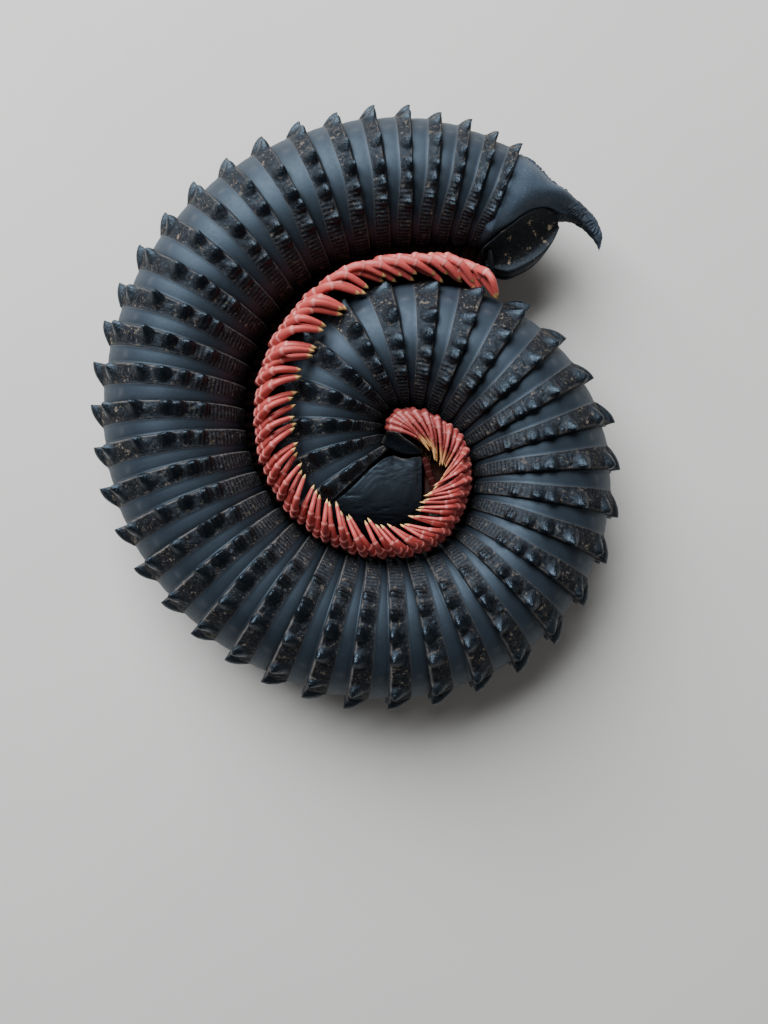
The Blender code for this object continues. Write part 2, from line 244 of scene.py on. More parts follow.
class Nodes:
    # short ways to add and join shader nodes
    def __init__(self, name):
        self.material = bpy.data.materials.new(name)
        self.material.use_nodes = True
        self.tree = self.material.node_tree
        self.shader = self.tree.nodes["Principled BSDF"]
        self.mapped = None

    def add(self, kind, **values):
        node = self.tree.nodes.new(kind)
        for key, value in values.items():
            setattr(node, key, value)
        return node

    def join(self, source, target):
        self.tree.links.new(source, target)

    def position(self, scale):
        # object coordinates in millimetres, times a scale
        if self.mapped is None:
            self.mapped = self.add("ShaderNodeTexCoord").outputs["Object"]
        node = self.add("ShaderNodeMapping")
        node.inputs["Scale"].default_value = (scale / mm,) * 3
        self.join(self.mapped, node.inputs["Vector"])
        return node.outputs["Vector"]

    def noise(self, scale, detail, roughness=0.55):
        node = self.add("ShaderNodeTexNoise")
        node.inputs["Scale"].default_value = 1.0
        node.inputs["Detail"].default_value = detail
        node.inputs["Roughness"].default_value = roughness
        self.join(self.position(scale), node.inputs["Vector"])
        return node.outputs["Fac"]

    def ramp(self, source, stops):
        node = self.add("ShaderNodeValToRGB")
        elements = node.color_ramp.elements
        while len(elements) < len(stops):
            elements.new(0.5)
        for element, (place, colour) in zip(elements, stops):
            element.position = place
            element.color = (*colour, 1) if isinstance(colour, tuple) else (colour, colour, colour, 1)
        self.join(source, node.inputs["Fac"])
        return node.outputs["Color"]

    def put(self, value, socket):
        # another node's output, a colour or a number, which is a grey on a colour socket
        if isinstance(value, (int, float)) and socket.type == "RGBA":
            value = (value,) * 3
        if isinstance(value, (int, float)):
            socket.default_value = value
        elif isinstance(value, tuple):
            socket.default_value = (*value, 1) if socket.type == "RGBA" else value
        else:
            self.join(value, socket)

    def feed(self, **values):
        for key, value in values.items():
            self.put(value, self.shader.inputs[shaderInputs[key]])

    def mix(self, factor, first, second):
        node = self.add("ShaderNodeMix", data_type="RGBA")
        self.put(factor, node.inputs["Factor"])
        self.put(first, node.inputs[6])
        self.put(second, node.inputs[7])
        return node.outputs[2]

    def math(self, operation, first, second, clamp=False):
        node = self.add("ShaderNodeMath", operation=operation, use_clamp=clamp)
        self.put(first, node.inputs[0])
        self.put(second, node.inputs[1])
        return node.outputs[0]

    def zones(self):
        # the four painted zones of a piece
        paint = self.add("ShaderNodeAttribute", attribute_name="zones")
        split = self.add("ShaderNodeSeparateColor")
        self.join(paint.outputs["Color"], split.inputs["Color"])
        return [*split.outputs, paint.outputs["Alpha"]]

    def bump(self, height, strength, distance):
        node = self.add("ShaderNodeBump")
        node.inputs["Strength"].default_value = strength
        node.inputs["Distance"].default_value = distance * mm
        self.join(height, node.inputs["Height"])
        return node.outputs["Normal"]


shellLooks = {
    "band": (0.013, 0.0175, 0.024),
    "bandPale": (0.022, 0.029, 0.040),
    "bandShade": (0.0035, 0.0042, 0.005),
    "fleck": (0.10, 0.115, 0.13),
    "crest": (0.0045, 0.0045, 0.0055),
    "dust": (0.030, 0.026, 0.029),
    "dirt": (0.19, 0.153, 0.115),
    "bead": (0.0035, 0.0045, 0.006),
    # pale colour of the rim lines and pore spots, also painted highlight on the lips, ribs, margins and
    # rims
    "edge": (0.13, 0.118, 0.112),
    "grain": (0.30, 0.25, 0.19),
    "cloudScale": 0.35,        # scales are in waves for each millimetre
    "fineScale": 2.6,
    "gritScale": 6.0,
    "fleckScale": 9.0,
    "dustScale": 3.4,
    "skinScale": 8.0,
    "patchScale": 1.5,
    "fleckFrom": 0.68,
    "patchFrom": 0.58,
    "grainFrom": 0.63,
    "fleckShare": 0.6,
    "dustShare": 0.8,
    "bandRough": (0.47, 0.57),
    "crestRough": (0.46, 0.72),
    "beadRough": 0.22,
    "dirtRough": 0.8,
    "bandSpecular": 0.46,
    "crestSpecular": 0.46,
    "beadSpecular": 0.58,
    "dirtSpecular": 0.12,
    "specularTint": (0.58, 0.78, 1.0),
    "skinShare": 0.22,
    "bumpStrength": 0.7,
    "bumpHeight": 0.1,
}
# the tail ring's chitin is paler and bluer than the rings': painted sheen of its satin surface
tailSheenLooks = {
    **shellLooks,
    "band": (0.034, 0.047, 0.066),
    "bandPale": (0.050, 0.068, 0.093),
    "bandShade": (0.008, 0.011, 0.016),
    "bandSpecular": 0.34,
    "fleck": (0.24, 0.26, 0.28),
    "fleckFrom": 0.63,
    "crest": (0.012, 0.014, 0.019),
}
# the valves' chitin is darker than the rings': painted shade, as the valves face away from the light;
# their tan dirt is their own
valveShadeLooks = {
    **shellLooks,
    "band": (0.009, 0.012, 0.017),
    "bandPale": (0.013, 0.018, 0.025),
    "crest": (0.008, 0.0075, 0.007),
    "dust": (0.020, 0.018, 0.016),
    "dirt": (0.30, 0.24, 0.16),
    "patchScale": 0.75,
    "patchFrom": 0.595,
    "grainFrom": 0.66,
}
shieldLooks = {
    **shellLooks,
    "band": (0.008, 0.010, 0.013),
    "bandPale": (0.012, 0.015, 0.019),
    "bandSpecular": 0.42,
    "beadSpecular": 0.10,
}


def makeShellMaterial(name, looks):
    # zones: crest, bead, pale marks partly painted highlight, and dirt on the crest or painted shade on
    # the band
    n = Nodes(name)
    crest, bead, edge, shade = n.zones()
    dirt = n.math("MULTIPLY", shade, n.ramp(crest, [(0.0, 0.0), (0.25, 1.0)]))
    cloud = n.noise(looks["cloudScale"], 3)
    fine = n.noise(looks["fineScale"], 5, 0.6)
    grit = n.noise(looks["gritScale"], 3, 0.7)
    patchy = n.noise(looks["patchScale"], 6, 0.75)
    dusty = n.noise(looks["dustScale"], 6, 0.75)

    def spots(source, start, width, share):
        return n.ramp(source, [(start, 0.0), (start + width, share)])

    band = n.mix(n.ramp(cloud, [(0.35, 0.0), (0.7, 1.0)]), looks["band"], looks["bandPale"])
    flecks = spots(n.noise(looks["fleckScale"], 2), looks["fleckFrom"], 0.09, looks["fleckShare"])
    band = n.mix(flecks, band, looks["fleck"])
    # painted shade darkens the band
    band = n.mix(shade, band, looks["bandShade"])
    colour = n.mix(crest, band, looks["crest"])
    dust = n.math("MULTIPLY", spots(dusty, 0.47, 0.15, looks["dustShare"]), dirt, True)
    colour = n.mix(dust, colour, looks["dust"])
    patches = n.math("MULTIPLY", spots(patchy, looks["patchFrom"], 0.03, 1.0), dirt, True)
    colour = n.mix(patches, colour, looks["dirt"])
    grains = n.math("MULTIPLY", spots(grit, looks["grainFrom"], 0.03, 1.0), dirt, True)
    colour = n.mix(grains, colour, looks["grain"])
    colour = n.mix(bead, colour, looks["bead"])
    colour = n.mix(n.math("MULTIPLY", edge, n.ramp(fine, [(0.3, 0.3), (0.6, 1.0)]), True), colour,
                   looks["edge"])
    bandRough, crestRough = (n.ramp(fine, [(0.3, low), (0.7, high)])
                             for low, high in (looks["bandRough"], looks["crestRough"]))
    rough = n.mix(crest, bandRough, crestRough)
    rough = n.mix(bead, rough, looks["beadRough"])
    rough = n.mix(patches, rough, looks["dirtRough"])
    specular = n.mix(crest, looks["bandSpecular"], looks["crestSpecular"])
    specular = n.mix(bead, specular, looks["beadSpecular"])
    specular = n.mix(dirt, specular, looks["dirtSpecular"])
    rubble = n.math("MULTIPLY", n.math("ADD", fine, grit), crest)
    skin = n.math("MULTIPLY", n.noise(looks["skinScale"], 3, 0.7), looks["skinShare"])
    relief = n.bump(n.math("ADD", rubble, skin), looks["bumpStrength"], looks["bumpHeight"])
    n.feed(colour=colour, rough=rough, specular=specular, tint=looks["specularTint"], relief=relief)
    return n.material


legLooks = {
    "coral": (0.48, 0.080, 0.072),
    "deep": (0.27, 0.034, 0.030),
    # painted shade: near black over the roots, which lie in shade under the body
    "hidden": (0.004, 0.002, 0.002),
    "joint": (0.72, 0.34, 0.31),
    "cap": (0.19, 0.032, 0.030),
    "claw": (0.75, 0.45, 0.18),
    "deepShare": 0.35,
    "roughness": 0.44,
    "rootShadeRoughness": 0.95,
    "specular": 0.36,
    "softness": 0.18,
    "softDepth": 0.4,
    "softReach": (1.0, 0.35, 0.25),
    "skinScale": 6.0,
    "skinHeight": 0.04,
}


def makeLegMaterial():
    # zones: joint, claw, painted shade over the root, knee cap
    n = Nodes("coralHorn")
    joint, claw, shade, cap = n.zones()
    cloud = n.ramp(n.noise(0.9, 3), [(0.35, 0.0), (0.65, legLooks["deepShare"])])
    colour = n.mix(cloud, legLooks["coral"], legLooks["deep"])
    for zone, look in ((cap, "cap"), (shade, "hidden"), (joint, "joint"), (claw, "claw")):
        colour = n.mix(zone, colour, legLooks[look])
    rough = n.mix(shade, legLooks["roughness"], legLooks["rootShadeRoughness"])
    # no reflection or soft glow where the shade is painted
    shown = n.math("SUBTRACT", 1.0, shade, True)
    relief = n.bump(n.noise(legLooks["skinScale"], 3), 0.25, legLooks["skinHeight"])
    n.feed(colour=colour, rough=rough, specular=n.math("MULTIPLY", shown, legLooks["specular"]),
           soft=n.math("MULTIPLY", shown, legLooks["softness"]), softReach=legLooks["softReach"],
           softDepth=legLooks["softDepth"] * mm, relief=relief)
    return n.material


# plain finishes: two close colours, scale and detail of their clouds, and height of the skin's grain
headLooks = {
    "dark": (0.011, 0.005, 0.004),
    "pale": (0.030, 0.011, 0.008),
    "cloud": (0.8, 4),
    "skin": (5.0, 0.05),
    "values": {"rough": 0.6, "specular": 0.06},
}
eyeLooks = {
    "dark": (0.004, 0.004, 0.005),
    "pale": (0.014, 0.012, 0.012),
    "cloud": (2.0, 2),
    "values": {"rough": 0.12, "coat": 0.6},
}
floorLooks = {
    "dark": (0.51, 0.495, 0.47),
    "pale": (0.54, 0.52, 0.495),
    "cloud": (0.02, 2),
    "values": {"rough": 0.75},
}


def makePlainMaterial(name, looks):
    n = Nodes(name)
    colour = n.ramp(n.noise(*looks["cloud"]), [(0.3, looks["dark"]), (0.7, looks["pale"])])
    n.feed(colour=colour, **looks["values"])
    if "skin" in looks:
        scale, height = looks["skin"]
        n.feed(relief=n.bump(n.noise(scale, 4), 0.4, height))
    return n.material


shellMaterial = makeShellMaterial("shellChitin", shellLooks)
tailSheenMaterial = makeShellMaterial("tailChitinSheen", tailSheenLooks)
valveShadeMaterial = makeShellMaterial("valveChitinShade", valveShadeLooks)
shieldMaterial = makeShellMaterial("shieldChitin", shieldLooks)
legMaterial = makeLegMaterial()
headMaterial = makePlainMaterial("headHorn", headLooks)
eyeMaterial = makePlainMaterial("eyeLens", eyeLooks)
floorMaterial = makePlainMaterial("paleFloor", floorLooks)
print("finishes made")

rings = {
    "columns": 400,
    "lengths": [(1, 4), (5, 8), (9, 12), (13, 16), (17, 20), (21, 24), (25, 28), (29, 32),
                (33, 36), (37, 40), (41, 44), (45, 49)],
    "foot": 0.06,              # how far behind the rim the band under it ends
    "tuck": 1.05,              # how far a length of shell runs in under the next rim
    "backDrop": 0.5,           # how far the hidden rows lie under the skin
    "frontDrops": (0.22, 0.6),
    "crestShare": 0.5,
    "tailCrest": [(1, 0.8), (8, 0.84), (15, 1.0), (49, 1.0)],
    "bellyCrestShare": 0.62,
    "bellyFrom": (90, 140),    # angles between which the back's crest turns into the belly's
    "ridge": 0.35,
    "ridgeFall": 1.7,
    "bellyRidge": 0.1,
    "ridgeEnd": (113.0, 137.0),
    "bandDip": 0.1,
    "bandSwell": 0.012,
    "bandWaves": 0.015,
    "lip": (0.055, 0.09),      # height and width of the lip in front of the crest
    "tubercles": {13: 0.82, 39: 0.8, 70: 0.85, 91: 0.8, 104: 0.6, 119: 0.42},
    "finEnd": 20,              # tubercles nearer to the back than this angle are thin fins
    "lean": 0.32,
    "smallBeads": 26,
    "smallBeadEnd": 128,
    "rubble": ((1.5, 3, 0.07), (3.9, 4, 0.06)),
    "ribs": (0.0, 1.0, 0.7, 0.1),
    "ribHeight": 0.085,
    "ribStart": (92, 118),
    "ribEnd": (166, 176),
    "poreAngle": 52.0,
    "porePlace": 0.24,
    "poreWidth": 0.3,
    "poreHeight": 0.03,
    "valleys": ((26, 7, 1.0), (55, 8, 0.6)),       # angle, width and share of the dirt beside the fins
    "leastDirt": 0.33,
    "ribDirt": (92, 112, 0.34),
    "rimLine": (0.07, 0.8),    # width and strength of the pale lines, partly their own tan colour and partly painted highlight
    "lipLine": (0.05, 0.3),
    "ribHighlight": 1.7,
    "poreLine": 0.2,
    "sideShade": (40, 105, 0.5),         # painted shade on the bands: from, to, and how dark
    "frontShade": (0.62, 1.0, 0.45),
    "hindShade": (0.2, 0.02, 0.12),
    "mostShade": 0.9,
    "seed": 11,
}

# places of the rows: up the back of the rim from its foot, along the crest, and along the band
rimRows = np.array([0.3, 0.75, 0.94])
crestRows = np.array([0.0, 0.05, 0.11, 0.18, 0.26, 0.34, 0.42, 0.5, 0.58, 0.66, 0.74, 0.82, 0.9, 0.96,
                      1.0])
bandRows = np.array([0.05, 0.12, 0.24, 0.38, 0.54, 0.7, 0.86, 1.0])


def makeBeads(ring, rng):
    # tubercles of one ring: angle, place on the crest, reach across, behind and ahead, height, fullness
    beads = []
    scale = float(radiusAt(ring)) / coil["fullRadius"]
    for angle, height in rings["tubercles"].items():
        fin = 1.0 if angle < rings["finEnd"] else 0.0
        for hand in (1, -1):
            tall = height * rng.uniform(0.78, 1.15) * scale
            where = hand * (angle + rng.uniform(-3.5, 3.5))
            place = rng.uniform(0.14, 0.3) * (1 - 0.8 * fin)
            width = (0.54 + 0.38 * height) * rng.uniform(0.85, 1.15) * (1 - 0.25 * fin)
            ahead = rng.uniform(0.6, 0.75) + 0.3 * fin
            beads.append((where, place, width, 0.4 + 0.15 * fin, ahead, tall * (1.08 - 0.08 * fin),
                          1.2 + 1.1 * fin))
    for i in range(rings["smallBeads"]):
        width = rng.uniform(0.1, 0.22)
        where = rng.uniform(-rings["smallBeadEnd"], rings["smallBeadEnd"])
        place = rng.uniform(0.05, 0.85)
        tall = width * rng.uniform(0.5, 1.0) * scale
        beads.append((where, place, width, width / 1.5, width / 1.5, tall, 1.6))
    return beads


def beadRelief(ring, arc, place, rng):
    # height of the tubercles over one crest, and where they stand
    radius = float(radiusAt(ring))
    height = np.zeros((len(place), len(arc)))
    mask = np.zeros_like(height)
    for angle, at, width, behind, ahead, tall, power in makeBeads(ring, rng):
        across = (arc - math.radians(angle) * radius) / width
        away = place - at
        away = away / np.where(away < 0, behind, ahead)
        reach = np.sqrt(across ** 2 + away ** 2)
        lump = tall * np.clip(1 - reach ** power, 0, 1) * (place < 1)
        height = np.maximum(height, lump)
        mask = np.maximum(mask, lump / max(tall, 0.35))
    return height, mask


def poreMask(arc, away, radius):
    # a round spot on each side of the band
    spots = np.zeros_like(away)
    for hand in (1, -1):
        across = arc - math.radians(hand * rings["poreAngle"]) * radius
        spots = np.maximum(spots, np.exp(-(across ** 2 + away ** 2) / rings["poreWidth"] ** 2))
    return spots


def grow(look, x):
    # from nothing at the first place to the full share at the second
    start, end, share = look
    return share * smooth(start, end, x)


def ringZones(fromBack, place, crest, v, beadMask, ribs, pore, lines):
    # how dirty each point of a ring is, its painted shade, and its pale marks, some of them painted
    # highlight
    valley = sum(share * np.exp(-((fromBack - angle) / width) ** 2)
                 for angle, width, share in rings["valleys"])
    clean = 1 - smooth(0.1, 0.4, beadMask)
    least = rings["leastDirt"]
    dirt = crest * clean * np.clip(least + (1 - least) * valley, 0, 1)
    dirt = np.maximum(dirt, crest * grow(rings["ribDirt"], fromBack))
    # pale rim and lip lines, partly painted highlight, painted highlight on the ribs, and the pale pore
    # spots
    rimLine, lipLine = lines
    edge = rimLine * clean
    for line in (lipLine, rings["poreLine"] * pore, rings["ribHighlight"] * ribs * crest):
        edge = np.maximum(edge, line)
    # painted shade: bands darker toward the belly, under the next rim and next to the crest's lip
    shade = (grow(rings["sideShade"], fromBack) + grow(rings["frontShade"], v)
             + grow(rings["hindShade"], v))
    shade = np.clip(shade * (1 - pore), 0, rings["mostShade"])
    bead = smooth(0.2, 0.5, beadMask) * crest
    return np.stack([crest, bead, edge, np.where(place < 1, dirt, shade)], -1)


def ringSurface(ring, angles, rng):
    # rows of one ring from the foot of its rim to the end of its band
    fromBack = np.abs(angles)
    radius = float(radiusAt(ring))
    ringLength = float(curve(coil["length"], ring))
    foot = rings["foot"]
    dip = rings["bandDip"]
    share = rings["crestShare"] * float(curve(rings["tailCrest"], ring))
    share = share + (rings["bellyCrestShare"] - share) * smooth(*rings["bellyFrom"], fromBack)
    ridge = rings["ridge"]
    ridge = ridge + (rings["bellyRidge"] - ridge) * smooth(*rings["ridgeEnd"], fromBack)
    along = np.concatenate([np.outer(-foot * (1 - rimRows), np.ones(len(angles))),
                            np.outer(crestRows, share),
                            share + np.outer(bandRows, 1 - foot - share)])
    rise = np.concatenate([rimRows, np.ones(len(crestRows)), np.zeros(len(bandRows))])[:, None]
    place = np.concatenate([np.zeros(len(rimRows)), crestRows, np.ones(len(bandRows))])[:, None]
    arc = np.radians(angles) * radius
    crest = np.where(place < 1, 1.0, 0.0) * np.ones_like(along)
    beadHeight, beadMask = beadRelief(ring, arc, place, rng)
    grain = np.stack(np.broadcast_arrays(arc[None, :], along * ringLength + ring * 7.3, 0.0 * along), -1)
    rubble = swells(grain, *rings["rubble"]) * (1 - 0.85 * smooth(0.1, 0.5, beadMask))
    rubble = rubble * ((1 - place ** 6) * (1 - 0.5 * smooth(100, 140, fromBack)))
    ribs = np.array(rings["ribs"])[np.arange(len(angles)) % len(rings["ribs"])]
    ribs = ribs * smooth(*rings["ribStart"], fromBack) * (1 - smooth(*rings["ribEnd"], fromBack))
    ribs = ribs * rings["ribHeight"]
    crestLift = ridge * (1 - place ** rings["ridgeFall"]) + beadHeight + rubble
    crestLift = crestLift + ribs * np.sin(np.pi * np.clip(place, 0, 1)) ** 0.5
    v = (along - share) / (1 - foot - share)
    bandLift = -dip * v * v + rings["bandSwell"] * np.sin(np.pi * np.clip(v, 0, 1))
    bandLift = bandLift + noise(grain * 0.5, 6) * rings["bandWaves"]
    fromLip = (along - share) * ringLength
    lipHeight, lipWidth = rings["lip"]
    lift = np.where(place < 1, crestLift * rise - dip * (1 - rise), bandLift)
    lift = lift + lipHeight * np.exp(-(fromLip / lipWidth) ** 2)
    lean = -rings["lean"] * np.where(place < 1, beadHeight * rise, 0.0)
    pore = poreMask(arc, (along - share - rings["porePlace"]) * ringLength, radius)
    lift = lift + rings["poreHeight"] * pore
    lines = [strength * np.exp(-(far / width) ** 2) for far, (width, strength) in
             (((along + 0.01) * ringLength, rings["rimLine"]), (fromLip, rings["lipLine"]))]
    return along, lift, lean, ringZones(fromBack, place, crest, v, beadMask, ribs, pore, lines)


def makeShell(number, first, last):
    rng = np.random.default_rng(rings["seed"] + number)
    angles = np.linspace(-180, 180, rings["columns"], endpoint=False)
    a = np.radians(angles)
    grids = []
    zoneRows = []
    for ring in range(first, last + 1):
        along, lift, lean, zones = ringSurface(ring, angles, rng)
        if ring == coil["ringCount"]:
            along = np.minimum(along, coil["collumStart"] - ring)
        places = ring + along
        centre, out, ahead = frames(places)
        spread = out * np.cos(a)[None, :, None] + side * np.sin(a)[None, :, None]
        grids.append(centre + spread * (radiusAt(places) + lift)[..., None] + ahead * lean[..., None])
        zoneRows.append(zones)
    grid = np.concatenate(grids)
    zones = np.concatenate(zoneRows)
    back = first - rings["foot"]
    front = min(last + rings["tuck"], coil["collumStart"] + 0.1)
    hidden = []
    for place, drop in ((back, rings["backDrop"]), *((front, drop) for drop in rings["frontDrops"])):
        centre, out, ahead = frames(place)
        spread = out * np.cos(a)[:, None] + side * np.sin(a)[:, None]
        hidden.append(centre + spread * (radiusAt(place) - drop))
    grid = np.concatenate([hidden[0][None], grid, hidden[1][None], hidden[2][None]])
    zones = np.concatenate([zones[:1] * 0, zones, zones[-1:], zones[-1:]])
    piece = closedTube(f"shell_{number:02d}", grid, zones)
    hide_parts(f"trunk_{number:02d}")
    setFinish(piece, shellMaterial)


for number, (first, last) in enumerate(rings["lengths"], 1):
    makeShell(number, first, last)
print("rings made")

# The neck shield and the head stand here, because the legs are laid over them.
# Their rows go across the body: x, y, facing, half height, half width.
shield = {
    "rows": [(-2.9, 2.3, 224.5, 4.9, 4.8), (-1.5, 1.35, 236, 4.65, 4.7), (0.4, 1.05, 248, 4.3, 4.5),
             (2.1, 1.2, 260, 4.05, 4.2), (3.4, 1.45, 270, 3.8, 3.7)],
    "power": 2.5,
    "bellyPower": 6.0,
    "rowCount": 140,
    "columns": 420,
    "tuck": (0.9, 0.45),       # how far its two hind rows run in under the last ring
    "narrow": 0.02,
    "margin": [(-3.0, 2.7), (-0.84, 4.4), (0.05, 5.0), (0.9, 5.22), (1.7, 5.02), (2.4, 5.26),
               (2.95, 5.36), (3.5, 5.18)],
    "marginWidth": 0.2,
    "marginRise": 0.16,
    # painted highlight along the raised margin
    "marginHighlight": 0.75,
    "wrinkles": (((1.1, 4.2, 4.2), 41, 0.045), ((2.5, 7, 7), 42, 0.02)),
    "frontRim": (0.965, 0.03, 0.012),    # place, width, height
    # painted shade: the shield turns darker and duller toward its lower edge, where the legs lie over it
    "dark": (3.5, -1.0),
}
head = {
    "rows": [(3.75, 1.5, 270, 3.3, 3.15), (4.6, 1.7, 273, 3.25, 3.2), (5.6, 2.2, 279, 2.8, 2.8),
             (6.3, 2.7, 286, 1.9, 1.9)],
    "lastRow": (6.72, 3.05, 290, 0.25, 0.25),
    "tip": (6.75, 3.1, 0.0),
    "waves": (1.2, 44, 0.05),
}


def heightBelow(points, ring):
    # height of the inner turn, the neck shield or the head above the coil's middle plane
    height = np.zeros(len(points))
    places = np.arange(ring + coil["innerTurnAfter"], coil["collumStart"], 0.25)
    if len(places):
        centre, out, ahead = frames(places)
        off = points[:, None, :2] - centre[None, :, :2]
        reach = np.linalg.norm(off, axis=-1)
        beside = np.abs((off * ahead[None, :, :2]).sum(-1)) < 1.0
        radius = radiusAt(places)[None]
        rise = np.where(beside & (reach < radius), radius ** 2 - reach ** 2, 0)
        height = np.maximum(height, np.sqrt(rise.max(1)))
    power = shield["power"]
    for x, y, facing, halfHeight, halfWidth in shield["rows"] + head["rows"]:
        reach = np.hypot(points[:, 0] - x, points[:, 1] - y) / halfHeight
        rise = halfWidth * np.clip(1 - reach ** power, 0, 1) ** (1 / power)
        height = np.maximum(height, rise)
    return height


legs = {
    # pairs are ring and value, and in radius the share of a leg's length and its half thickness
    "first": 0.75, "last": 48.2, "step": 0.5,
    "hip": [(0.7, 2.7), (1.5, 2.3), (3, 1.85), (8, 1.5), (12, 1.6), (16, 1.6), (20, 1.1), (24, 0.6),
            (30, 0.35), (34, 0.9), (40, 0.3), (49, 0.4)],
    "slant": [(0.6, 54), (1.8, 62), (4, 61), (9, 57), (12, 38), (16, 26), (20, 20), (24, 27), (27, 34),
              (31, 36), (36, 18), (40, 27), (43, 20), (45, -5), (48, -42)],
    "reach": [(0.6, 4.5), (1.8, 4.3), (3, 4.4), (8, 4.5), (10, 4.5), (19, 4.2), (23, 3.6), (27, 4.2),
              (30, 3.9), (33, 4.3), (37, 4.4), (39, 3.4), (42, 4.8), (49, 4.4)],
    "bow": [(1, 0.2), (6, 0.15), (10, 0.75), (13, 0.4), (24, 0.1), (49, 0.1)],
    "clump": [(1, 0.12), (8, 0.15), (10, 0.6), (15, 0.6), (18, 0.1), (21, 0.3), (34, 0.3), (49, 0.2)],
    "clumpSize": 3,
    "stagger": [(1, 0.9), (7, 0.9), (11, 0.1), (49, 0.1)],
    "hub": (32, 42),           # rings between which the legs turn slim and darker, most of all at their knees, partly painted shade
    "spread": {"place": 0.07, "slant": 4, "reach": 0.3, "hip": 0.12, "bow": 0.08, "level": 0.1},
    "rootDepth": 0.7,
    "rootSide": 1.1,
    "rootDrop": 1.9,
    "hipSide": 3.5,
    "bendShare": 0.42,
    "tipDrop": 0.2,
    "tipLift": 1.15,
    "arch": 0.55,
    "levels": (0.4, -0.35),
    "radius": [(0, 0.26), (0.2, 0.3), (0.36, 0.41), (0.45, 0.41), (0.6, 0.36), (0.73, 0.3), (0.9, 0.22),
               (0.95, 0.18), (0.965, 0.145), (0.99, 0.10), (1.0, 0.03)],
    "stout": [(1, 1.27), (10, 1.27), (16, 1.2), (22, 1.03), (34, 0.92), (49, 0.88)],
    "slim": [(1, 1.1), (14, 1.0), (22, 0.86), (34, 0.62), (49, 0.45)],
    "podomereSwell": 0.2,
    "joints": (0.435, 0.555, 0.73),
    "jointWidth": 0.009,
    "jointRows": (-0.03, -0.012, -0.002, 0.008, 0.02),
    "plainRows": 30,
    "swellStart": 0.3,
    "clawStart": 0.95,
    "rootShadeEnd": (0.33, 0.385),
    "capEnd": (0.425, 0.44),
    "sides": 16,
    "squareness": 2.9,
    "flatness": 0.94,
    "seed": 5,
}


def legTip(ring, upper, rng):
    # where one leg starts, stands out, and ends, before it is drawn to its neighbours
    def vary(name):
        return rng.uniform(-legs["spread"][name], legs["spread"][name])

    centre, out, ahead = frames(ring)
    radius = radiusAt(ring)
    slant = math.radians(curve(legs["slant"], ring) + vary("slant"))
    stride = -out * math.cos(slant) - ahead * math.sin(slant)
    bow = out * math.sin(slant) - ahead * math.cos(slant)
    reach = curve(legs["reach"], ring) + vary("reach") - (curve(legs["stagger"], ring) if upper else 0)
    root = centre - out * (radius - legs["rootDepth"]) + side * legs["rootSide"]
    hip = centre - out * (radius + curve(legs["hip"], ring) + vary("hip")) + side * legs["hipSide"]
    return {"ring": ring, "root": root, "hip": hip, "tip": hip + stride * reach, "bow": bow,
            "bend": curve(legs["bow"], ring) + vary("bow")}


def rounded(a, b, c, d, t):
    # a share of the way from b to c, on a line that also bends toward a and d
    return 0.5 * (2 * b + (c - a) * t + (2 * a - 5 * b + 4 * c - d) * t * t
                  + (3 * b - a - 3 * c + d) * t ** 3)


def smoothRoute(points, at):
    # a rounded line through a few points, at the given shares of its length
    points = np.asarray(points)
    padded = np.concatenate([[2 * points[0] - points[1]], points, [2 * points[-1] - points[-2]]])
    fine = []
    for i in range(1, len(padded) - 2):
        for t in np.linspace(0, 1, 16, endpoint=False):
            fine.append(rounded(*padded[i - 1:i + 3], t))
    fine.append(padded[-2])
    fine = np.array(fine)
    lengths = np.concatenate([[0], np.cumsum(np.linalg.norm(np.diff(fine, axis=0), axis=1))])
    return np.stack([np.interp(at * lengths[-1], lengths, fine[:, k]) for k in range(3)], -1)


def roundedSquare(turn, power):
    # a circle at power 2, and squarer the higher it is
    c = np.copysign(np.abs(np.cos(turn)) ** (2 / power), np.cos(turn))
    s = np.copysign(np.abs(np.sin(turn)) ** (2 / power), np.sin(turn))
    return c, s


def tubeGrid(route, radii, sides, across, flatten=1.0, power=2.0):
    # rings of points square to a bent line
    tangents = np.gradient(route, axis=0)
    tangents /= np.linalg.norm(tangents, axis=1)[:, None]
    c, s = roundedSquare(np.linspace(0, 2 * np.pi, sides, endpoint=False), power)
    grid = []
    first = across
    for point, tangent, radius in zip(route, tangents, radii):
        first = first - tangent * first.dot(tangent)
        first = first / np.linalg.norm(first)
        second = np.cross(tangent, first)
        grid.append(point + radius * (np.outer(c, first) + flatten * np.outer(s, second)))
    return np.array(grid)


def legRows():
    # closer rows at the joints, where the leg steps in and shows a pale line
    steps = [np.linspace(0, 1, legs["plainRows"])]
    steps += [joint + np.array(legs["jointRows"]) for joint in (*legs["joints"], legs["clawStart"])]
    return np.unique(np.round(np.clip(np.concatenate(steps), 0, 1), 4))


def legRoute(leg, level, at):
    # from the root out of the belly, over the hip and knee to the tip, clear of what lies under it
    tip = leg["tip"].copy()
    middle = leg["hip"] + (tip - leg["hip"]) * legs["bendShare"] + leg["bow"] * leg["bend"]
    below = heightBelow(np.array([middle, tip]), leg["ring"])
    tip[2] = max(legs["hipSide"] - legs["tipDrop"], below[1] + legs["tipLift"]) + level
    middle[2] = max(legs["hipSide"], below[0] + legs["tipLift"], tip[2]) + legs["arch"] + level * 0.5
    hip = leg["hip"].copy()
    hip[2] += level * 0.5
    low = leg["root"] + (hip - leg["root"]) * 0.95
    low[2] = hip[2] - legs["rootDrop"]
    return smoothRoute([leg["root"], low, hip, middle, tip], at)


